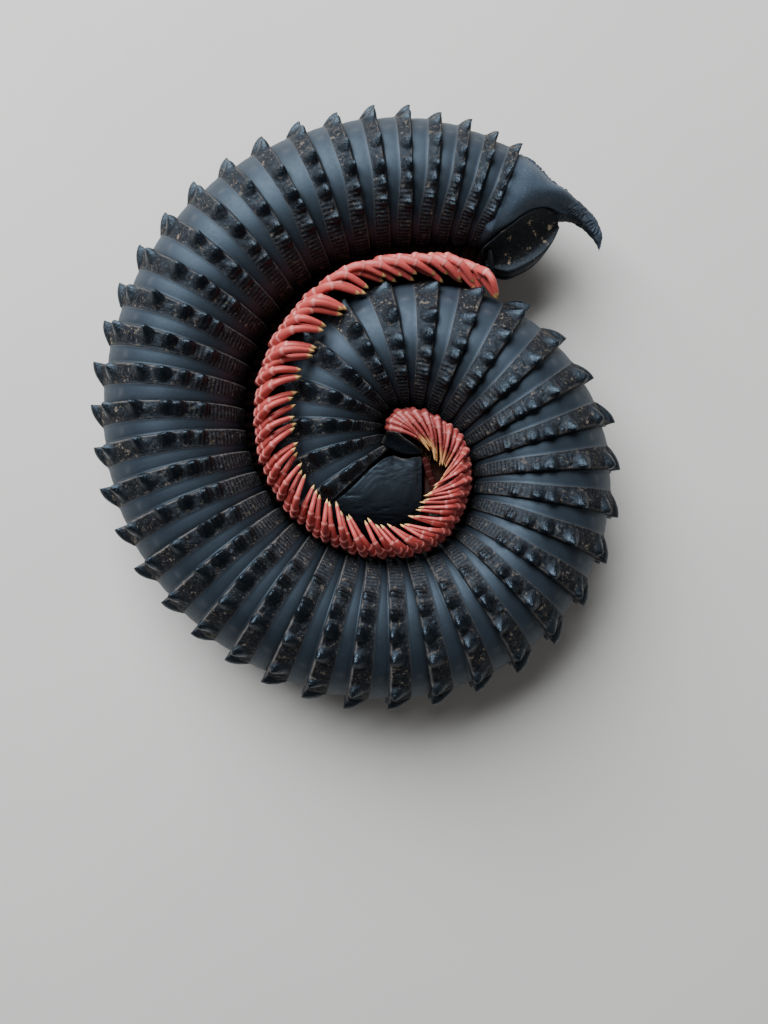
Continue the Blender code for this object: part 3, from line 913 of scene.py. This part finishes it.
def legRadii(ring, at, hub):
    # each podomere widens toward its far joint, and the far ones turn slim
    radii = curve(legs["radius"], at) * curve(legs["stout"], ring)
    slim = smooth(0.44 - 0.04 * hub, 0.85 - 0.17 * hub, at)
    radii = radii * (1 + (curve(legs["slim"], ring) - 1) * slim)
    ends = (legs["swellStart"], *legs["joints"], legs["clawStart"])
    for start, end in zip(ends[:-1], ends[1:]):
        part = np.clip((at - start) / (end - start), 0, 1)
        radii = radii * (1 + legs["podomereSwell"] * (part - 0.5) * ((at > start) & (at <= end)))
    return radii


def legZones(ring, at, hub):
    joints = np.zeros(len(at))
    for joint in legs["joints"]:
        joints = np.maximum(joints, np.exp(-((at - joint) / legs["jointWidth"]) ** 2))
    claw = smooth(legs["clawStart"] - 0.015, legs["clawStart"] + 0.005, at)
    claw = np.maximum(claw, 0.75 * smooth(36, 43, ring) * smooth(0.74, 0.88, at))
    # painted shade over the root near the body
    shade = 1 - smooth(*legs["rootShadeEnd"], at)
    # dark knee caps, and in the hub darker legs all along, partly painted shade
    cap = np.maximum((1 - smooth(*legs["capEnd"], at)) * (0.6 + 0.4 * hub), 0.72 * hub)
    return np.stack([joints * (1 - claw) * (1 - shade) * (0.5 - 0.25 * hub), claw, shade, cap], -1)


def legGrid(leg, hand, level):
    at = legRows()
    hub = smooth(*legs["hub"], leg["ring"])
    route = legRoute(leg, level, at)
    radii = legRadii(leg["ring"], at, hub)
    across = np.cross(leg["bow"], side)
    grid = tubeGrid(route, radii, legs["sides"], across, legs["flatness"], legs["squareness"])
    if hand < 0:
        grid[..., 2] *= -1
        grid = grid[:, ::-1]
    return grid, np.repeat(legZones(leg["ring"], at, hub)[:, None], legs["sides"], 1)


def makeLegs(name, hand):
    rng = np.random.default_rng(legs["seed"] + hand)
    places = np.arange(legs["first"], legs["last"], legs["step"])
    loose = legs["spread"]["place"]
    row = [legTip(place + rng.uniform(-loose, loose), i % 2 == 0, rng) for i, place in enumerate(places)]
    for start in range(0, len(row), legs["clumpSize"]):
        group = row[start:start + legs["clumpSize"]]
        shared = np.mean([leg["tip"] for leg in group], axis=0)
        for leg in group:
            leg["tip"] += (shared - leg["tip"]) * curve(legs["clump"], leg["ring"])
    tubes = []
    loose = legs["spread"]["level"]
    for i, leg in enumerate(row):
        grid, zones = legGrid(leg, hand, legs["levels"][i % 2] + rng.uniform(-loose, loose))
        tubes.append((grid, zones, grid[0].mean(0), grid[-1].mean(0)))
    setFinish(addTubes(name, tubes), legMaterial)


makeLegs("legs_left", 1)
makeLegs("legs_right", -1)
print("legs made")

tail = {
    # rows of the hooked ring: x and y at the back, x and y at the belly, half width
    "rows": [(13.4, 35.05, 9.6, 25.5, 5.15), (15.4, 34.25, 11.2, 26.6, 4.9),
             (16.9, 32.8, 13.0, 28.1, 4.1), (18.0, 31.75, 15.2, 29.3, 2.9),
             (19.0, 30.9, 17.2, 29.0, 1.6), (20.1, 30.05, 18.85, 28.8, 1.05),
             (21.1, 28.95, 20.2, 27.75, 0.75), (21.66, 27.65, 20.88, 26.95, 0.48),
             (21.64, 26.8, 21.15, 26.45, 0.27)],
    "backTrim": [(-0.02, 0.02), (-0.45, -0.48), (-0.5, -0.46), (-0.14, -0.12)],
    "hookTip": (21.35, 25.9, 0.0),
    "hookStart": (0.36, 0.5),
    "power": 4.5,
    "tuck": 0.7,
    "tuckShare": 0.95,
    "granules": ((4.4, 21, 1.0), (9.0, 22, 0.25)),
    "granuleHeight": 0.36,
    "wrinkleCount": 270,
    "wrinkleHeight": 0.042,
    "marginAngle": 140,
    "marginHeight": 0.1,
    "underShadeAngle": (138, 146),
    "waves": (0.8, 24, 0.02),
    "columns": 240,
    "rowCount": 260,
}


def spreadRows(table, count):
    # evenly spaced rows through a short table, each value on a smooth line
    table = np.array(table, float)
    at = np.linspace(0, len(table) - 1, count)
    padded = np.concatenate([[2 * table[0] - table[1]], table, [2 * table[-1] - table[-2]]])
    i = np.minimum(at.astype(int), len(table) - 2)
    t = (at - i)[:, None]
    return rounded(*(padded[i + k] for k in range(4)), t)


def withNormals(grid):
    # the grid's own outward directions
    down = np.gradient(grid, axis=0)
    across = (np.roll(grid, -1, 1) - np.roll(grid, 1, 1)) / 2
    normal = np.cross(across, down)
    normal /= np.maximum(np.linalg.norm(normal, axis=-1), 1e-9)[..., None]
    outward = ((grid - grid.mean(1, keepdims=True)) * normal).sum(-1).mean()
    return normal if outward > 0 else -normal


def flatPoints(rows):
    # x and y columns as points of the middle plane, one for each row
    return np.concatenate([rows, np.zeros((len(rows), 1))], 1)[:, None]


def ovalGrid(rows, turn, across):
    # oval sections from rows of x and y behind, x and y ahead, and half width
    behind = flatPoints(rows[:, :2])
    ahead = flatPoints(rows[:, 2:4])
    return ((behind + ahead) / 2 + (behind - ahead) / 2 * np.cos(turn)[None, :, None]
            + side * (across[None, :] * rows[:, 4:5])[..., None])


def preanalRelief(grid, at, fromBack, hook):
    # granules along the back, wrinkles round the hook and a raised lower margin
    granules = smooth(-0.05, 0.5, swells(grid, *tail["granules"])) * smooth(44, 8, fromBack)
    granules = granules * smooth(0.0, 0.06, at) * smooth(0.5, 0.25, at)
    ripples = np.sin(at * tail["wrinkleCount"] + noise(grid * 1.6, 23) * 7)
    wrinkles = (0.6 * ripples + 1.4 * noise(grid * 3.5, 25)) * hook * smooth(1.0, 0.93, at)
    margin = np.exp(-((fromBack - tail["marginAngle"]) / 8) ** 2)
    margin = margin * smooth(0.02, 0.12, at) * smooth(0.52, 0.42, at)
    lift = granules * tail["granuleHeight"] + wrinkles * tail["wrinkleHeight"]
    return granules, lift + margin * tail["marginHeight"] + swells(grid, tail["waves"])


def makePreanal():
    table = np.array(tail["rows"])
    table[:4, :2] += tail["backTrim"]
    closing = (*tail["hookTip"][:2], *tail["hookTip"][:2], 0.05)
    rows = spreadRows([*table.tolist(), closing], tail["rowCount"])
    turn = np.linspace(0, 2 * np.pi, tail["columns"], endpoint=False)
    fullness = np.abs(np.sin(turn)) ** np.where(np.cos(turn) > 0, 1.0, 2 / tail["power"])
    grid = ovalGrid(rows, turn, np.copysign(fullness, np.sin(turn)))
    at = np.linspace(0, 1, len(rows))[:, None]
    fromBack = np.degrees(np.minimum(turn, 2 * np.pi - turn))[None, :]
    hook = smooth(*tail["hookStart"], at)
    granules, lift = preanalRelief(grid, at, fromBack, hook)
    grid = grid + withNormals(grid) * lift[..., None]
    # painted shade: the underside of the margin and the lower side of the hook take the dark crest
    # colour
    under = smooth(*tail["underShadeAngle"], fromBack) * smooth(0.55, 0.45, at) * np.ones_like(lift)
    lower = smooth(70, 110, fromBack) * hook
    crest = np.clip(0.4 * granules + 0.3 * hook + 0.6 * lower + under, 0, 1) * np.ones_like(lift)
    # dirt at the base of the hook and on the granules, which also darkens the band where the crest share
    # is low
    dirt = (0.45 * smooth(0.3, 0.42, at) * smooth(0.7, 0.5, at) + 0.3 * granules) * (1 - under)
    zones = np.stack([crest, granules * 0.2, 0 * lift, dirt], -1)
    middle = grid[0].mean(0)
    tuck = middle + (grid[0] - middle) * tail["tuckShare"] + frames(1)[2] * tail["tuck"]
    grid = np.concatenate([tuck[None], grid])
    zones = np.concatenate([zones[:1], zones])
    piece = closedTube("preanal", grid, zones, endTip=np.array(tail["hookTip"]))
    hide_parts("preanal_ring")
    setFinish(piece, tailSheenMaterial)


valve = {
    # rows across a valve: x and y at its hinge, x and y at its lip, half widths at both
    "rows": [(9.3, 25.2, 9.9, 23.85, 3.3, 0.8), (11.2, 26.8, 12.0, 23.2, 3.9, 1.0),
             (12.55, 27.8, 13.4, 23.6, 4.0, 1.1), (13.8, 28.65, 14.6, 24.3, 3.7, 1.1),
             (15.0, 29.2, 15.7, 25.3, 3.0, 1.1), (16.15, 29.15, 16.6, 26.6, 2.2, 1.0),
             (17.0, 28.7, 17.15, 27.8, 1.4, 0.8)],
    "rowCount": 60,
    "across": [0.0, 0.02, 0.05, 0.1, 0.18, 0.27, 0.36, 0.45, 0.54, 0.61, 0.66, 0.71, 0.77, 0.84, 0.9,
               0.95, 0.985, 1.0],
    "profile": [(0, 0.92), (0.06, 0.97), (0.16, 0.9), (0.4, 0.8), (0.6, 0.73), (0.77, 0.8),
                (0.87, 1.1), (0.94, 1.36), (0.98, 1.3), (1.0, 0.9)],
    "inner": 0.15,             # half the gap between the two valves
    "rim": (0.74, 0.84),
    "waves": (1.1, 31, 0.04),
}


def makeValve(name, hand):
    rows = spreadRows(valve["rows"], valve["rowCount"])
    across = np.array(valve["across"])
    inner = valve["inner"]
    hinge = flatPoints(rows[:, :2])
    lip = flatPoints(rows[:, 2:4])
    width = rows[:, 4:5] + (rows[:, 5:6] - rows[:, 4:5]) * across[None, :]
    width = width * curve(valve["profile"], across)[None, :]
    flat = hinge + (lip - hinge) * across[None, :, None]
    outer = flat + side * (np.maximum(width, inner + 0.1) * hand)[..., None]
    outer = outer + side * (swells(outer, valve["waves"]) * hand)[..., None]
    back = flat[:, ::-1][:, ::4] + side * inner * hand
    grid = np.concatenate([outer, back], 1)
    shares = np.concatenate([across, across[::-1][::4]])
    rim = smooth(*valve["rim"], shares)[None, :] * np.ones((len(rows), 1))
    # painted shade: the dish is darker and glossier than its rim
    zones = np.stack([1 - 0.35 * rim, 0.25 - 0.25 * rim, 0 * rim, 0.5 * (1 - rim) + 0.35], -1)
    piece = closedTube(name + "_plate", grid, zones)
    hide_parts(name)
    setFinish(piece, valveShadeMaterial)


subanal = {
    # rows of the plate under the valves: x and y behind, x and y ahead, half width
    "rows": [(9.75, 25.0, 10.45, 24.95, 3.0), (10.0, 24.1, 10.65, 24.1, 2.5),
             (10.2, 23.3, 10.75, 23.3, 1.6)],
    "rowCount": 24,
    "columns": 48,
}


def makeScale():
    rows = spreadRows(subanal["rows"], subanal["rowCount"])
    turn = np.linspace(0, 2 * np.pi, subanal["columns"], endpoint=False)
    grid = ovalGrid(rows, turn, np.sin(turn))
    zones = np.zeros((*grid.shape[:2], 4))
    zones[..., 0] = 1.0
    piece = closedTube("subanal", grid, zones)
    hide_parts("subanal_scale")
    setFinish(piece, valveShadeMaterial)


makePreanal()
makeValve("anal_valve_left", 1)
makeValve("anal_valve_right", -1)
makeScale()
print("tail made")


def bodySections(table, count, columns, power, bellyPower):
    # rounded sections square to the body, from rows of a table
    rows = spreadRows(table, count)
    turn = np.linspace(0, 2 * np.pi, columns, endpoint=False)
    out = directions(rows[:, 2])[0]
    c, s = roundedSquare(turn, np.where(np.cos(turn) > 0, power, bellyPower))
    high = out[:, None] * (rows[:, 3:4] * c)[..., None]
    return flatPoints(rows[:, :2]) + high + side * (rows[:, 4:5] * s)[..., None]


def makeCollum():
    grid = bodySections(shield["rows"], shield["rowCount"], shield["columns"], shield["power"],
                        shield["bellyPower"])
    rear = np.array([grid[0] - frames(coil["collumStart"])[2] * back for back in shield["tuck"]])
    rear = rear + (grid[0].mean(0) - grid[0]) * shield["narrow"]
    grid = np.concatenate([rear, grid])
    at = np.linspace(0, 1, len(grid))[:, None]
    place, width, tall = shield["frontRim"]
    relief = swells(grid, *shield["wrinkles"]) + np.exp(-((at - place) / width) ** 2) * tall
    grid = grid + withNormals(grid) * relief[..., None]
    limit = curve(shield["margin"], grid[..., 0])
    inside = np.maximum(limit - grid[..., 1], 0)
    margin = np.exp(-(inside / shield["marginWidth"]) ** 2) * smooth(0.12, 0.3, at)
    margin = margin * smooth(2.2, 2.8, np.abs(grid[..., 2]))
    grid[..., 1] = np.minimum(grid[..., 1], limit)
    grid[..., 2] += margin * shield["marginRise"] * np.sign(grid[..., 2])
    zones = np.zeros((*grid.shape[:2], 4))
    # painted shade, darker toward the lower edge
    zones[..., 1] = 0.1 + 0.8 * smooth(*shield["dark"], grid[..., 1])
    # painted highlight on the margin
    zones[..., 2] = shield["marginHighlight"] * margin
    piece = closedTube("neck_shield", grid, zones)
    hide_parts("collum")
    setFinish(piece, shieldMaterial)


lobes = {
    "upper": [(0.05, 7.45, 3.9), (1.0, 7.35, 4.2), (1.85, 6.75, 4.2), (2.65, 6.2, 4.1),
              (3.4, 5.62, 3.9)],
    "lower": [(-0.4, 6.5, 2.7), (0.7, 5.9, 2.7), (1.6, 5.55, 2.8), (2.5, 5.45, 3.0),
              (3.3, 5.45, 3.4)],
    "thickness": 0.5,
    "rim": 0.2,
    "hollow": 0.12,
    "waves": (2.2, 43, 0.04),
}


def makeLobes():
    # the flat corner plates that stand up between the neck shield and the last ring
    along = np.linspace(0, 1, 60)[:, None]
    down = np.linspace(0, 1, 40)[None, :]
    rim = np.exp(-(down / 0.12) ** 2) + 0.7 * np.exp(-(along / 0.05) ** 2)
    upper = smoothRoute(lobes["upper"], along[:, 0])
    lower = smoothRoute(lobes["lower"], along[:, 0])
    face = upper[:, None] + (lower - upper)[:, None] * down[..., None]
    face[..., 2] += (lobes["rim"] * rim + swells(face, lobes["waves"])
                     - lobes["hollow"] * np.sin(np.pi * down))
    under = face[:, ::-1] - side * lobes["thickness"]
    grid = np.concatenate([under, face], 1)
    zones = np.zeros((*grid.shape[:2], 4))
    zones[..., 0] = 1.0
    zones[..., 1] = 0.3
    # the pale rim along the plates' upper edge is painted highlight
    zones[:, under.shape[1]:, 2] = 0.9 * np.clip(rim, 0, 1)
    for name, hand in (("neck_lobe_left", 1), ("neck_lobe_right", -1)):
        setFinish(closedTube(name, grid * (1, 1, hand), zones), shellMaterial)


def makeHead():
    grid = bodySections([*head["rows"], head["lastRow"]], 60, 120, 2.0, 2.0)
    grid = grid + withNormals(grid) * swells(grid, head["waves"])[..., None]
    piece = closedTube("head_capsule", grid, endTip=np.array(head["tip"]))
    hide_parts("head")
    setFinish(piece, headMaterial)


eyes = {
    "facing": 52.0,            # angle from the middle of the back
    "reach": 0.58,
    "lensRadius": 0.12,
    "lensGap": (0.2, 0.175),
    "lensRise": 0.3,
    "lensFall": 0.25,
    "lensTilts": (0.0, 0.45, 0.9, 1.3),
    "lensSides": 10,
    "lensDepth": 0.1,
}


def lensDome(centre, ahead, around, normal):
    # one simple eye: rings that close over a round top, and a point below
    turn = np.linspace(0, 2 * np.pi, eyes["lensSides"], endpoint=False)
    flat = np.outer(np.cos(turn), ahead) + np.outer(np.sin(turn), around)
    radius = eyes["lensRadius"]
    grid = np.array([centre + radius * (math.cos(tilt) * flat + math.sin(tilt) * normal)
                     for tilt in eyes["lensTilts"]])
    return grid, None, centre - normal * eyes["lensDepth"], centre + normal * radius


def makeEyes():
    x, y, facing, halfHeight, halfWidth = head["rows"][1]
    out, ahead = directions(np.array(float(facing)))
    a = math.radians(eyes["facing"])
    gapAhead, gapAround = eyes["lensGap"]
    for name, hand in (("left", 1), ("right", -1)):
        normal = out * math.cos(a) * halfWidth + side * math.sin(a) * halfHeight * hand
        normal /= np.linalg.norm(normal)
        surface = np.array([x, y, 0]) + out * halfHeight * math.cos(a)
        surface = surface + side * halfWidth * math.sin(a) * hand
        around = np.cross(normal, ahead)
        lenses = []
        for i in range(-3, 4):
            for j in range(-3, 4):
                place = np.array([(i + 0.5 * (j % 2)) * gapAhead, j * gapAround])
                if np.hypot(*place) > eyes["reach"]:
                    continue
                rise = eyes["lensRise"] - eyes["lensFall"] * place.dot(place)
                centre = surface + ahead * place[0] + around * place[1] + normal * rise
                lenses.append(lensDome(centre, ahead, around, normal))
        piece = addTubes("ocelli_" + name, lenses)
        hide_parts("eye_" + name)
        setFinish(piece, eyeMaterial)


antennae = {
    "route": [(4.5, 1.2, 3.8), (4.5, 2.3, 4.0), (4.1, 3.4, 3.95), (3.9, 4.4, 3.6), (3.6, 5.1, 3.1)],
    "radius": 0.36,
    "joints": 6.5,
    "jointPale": 0.05,
    # painted shade: the feelers take nearly all of the legs' dark root colour, for the hollow beside the
    # head
    "shade": 0.96,
    "rows": 72,
    "sides": 16,
}


def makeAntennae():
    sides = antennae["sides"]
    at = np.linspace(0, 1, antennae["rows"])
    swell = np.abs(np.sin(np.pi * (at * antennae["joints"] + 0.1))) ** 0.35
    radii = antennae["radius"] * (0.8 + 0.2 * swell) * np.sqrt(np.clip((1 - at) / 0.06, 0.05, 1))
    joints = np.exp(-((swell - 0.35) / 0.25) ** 2) * antennae["jointPale"]
    zones = np.stack([joints, 0 * at, antennae["shade"] + 0 * at, 0 * at], -1)
    for name, hand in (("left", 1), ("right", -1)):
        route = smoothRoute(np.array(antennae["route"]) * (1, 1, hand), at)
        grid = tubeGrid(route, radii, sides, side)
        piece = closedTube("feeler_" + name, grid, np.repeat(zones[:, None], sides, 1))
        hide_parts("antenna_" + name)
        setFinish(piece, legMaterial)


makeCollum()
makeLobes()
makeHead()
makeEyes()
makeAntennae()
print("head end made")

view = {
    "distance": 97.6,
    "yaw": 2.72,
    "pitch": -1.25,
    "lens": 46.875,
    "sensor": 36.0,
}


def makeCamera():
    yaw = math.radians(view["yaw"])
    pitch = math.radians(view["pitch"])
    turnY = np.array([[math.cos(yaw), 0, math.sin(yaw)],
                      [0, 1, 0],
                      [-math.sin(yaw), 0, math.cos(yaw)]])
    turnX = np.array([[1, 0, 0],
                      [0, math.cos(pitch), -math.sin(pitch)],
                      [0, math.sin(pitch), math.cos(pitch)]])
    axes = (turnX @ turnY).T
    data = bpy.data.cameras.new("camera")
    data.sensor_fit = "HORIZONTAL"
    data.sensor_width = view["sensor"]
    data.lens = view["lens"]
    data.clip_start = 0.001
    camera = bpy.data.objects.new("camera", data)
    bpy.context.scene.collection.objects.link(camera)
    place = Matrix.Translation(Vector(toWorld(axes @ np.array([0, 0, view["distance"]]))))
    camera.matrix_world = place @ Matrix(axes.tolist()).to_4x4()
    bpy.context.scene.camera = camera


studio = {
    "key": {"power": 4.9, "size": 0.34, "place": (-0.14, 0.235, 0.27), "colour": (0.93, 0.97, 1.0)},
    "fill": {"power": 0.08, "size": 0.3, "place": (0.20, -0.06, 0.24), "colour": (1.0, 0.97, 0.93)},
    "aim": (0, 0, 0.005),
    "world": 0.09,
    "worldColour": (0.93, 0.96, 1.0, 1),
    "floorReach": 3.0,
}


def addLight(name, power, size, place, colour):
    data = bpy.data.lights.new(name, "AREA")
    data.shape = "SQUARE"
    data.size = size
    data.energy = power
    data.color = colour
    light = bpy.data.objects.new(name, data)
    bpy.context.scene.collection.objects.link(light)
    light.location = place
    light.rotation_euler = (Vector(studio["aim"]) - Vector(place)).to_track_quat("-Z", "Y").to_euler()


def makeStudio():
    mesh = bpy.data.meshes.new("floor")
    reach = studio["floorReach"]
    corners = [(x * reach, y * reach, 0) for x, y in ((-1, -1), (1, -1), (1, 1), (-1, 1))]
    mesh.from_pydata(corners, [], [(0, 1, 2, 3)])
    floor = bpy.data.objects.new("floor", mesh)
    bpy.context.scene.collection.objects.link(floor)
    mesh.materials.append(floorMaterial)
    for name in ("key", "fill"):
        addLight(name, **studio[name])
    world = bpy.data.worlds.new("studio")
    bpy.context.scene.world = world
    world.use_nodes = True
    background = world.node_tree.nodes["Background"]
    background.inputs["Color"].default_value = studio["worldColour"]
    background.inputs["Strength"].default_value = studio["world"]


makeCamera()
makeStudio()
print("studio made")
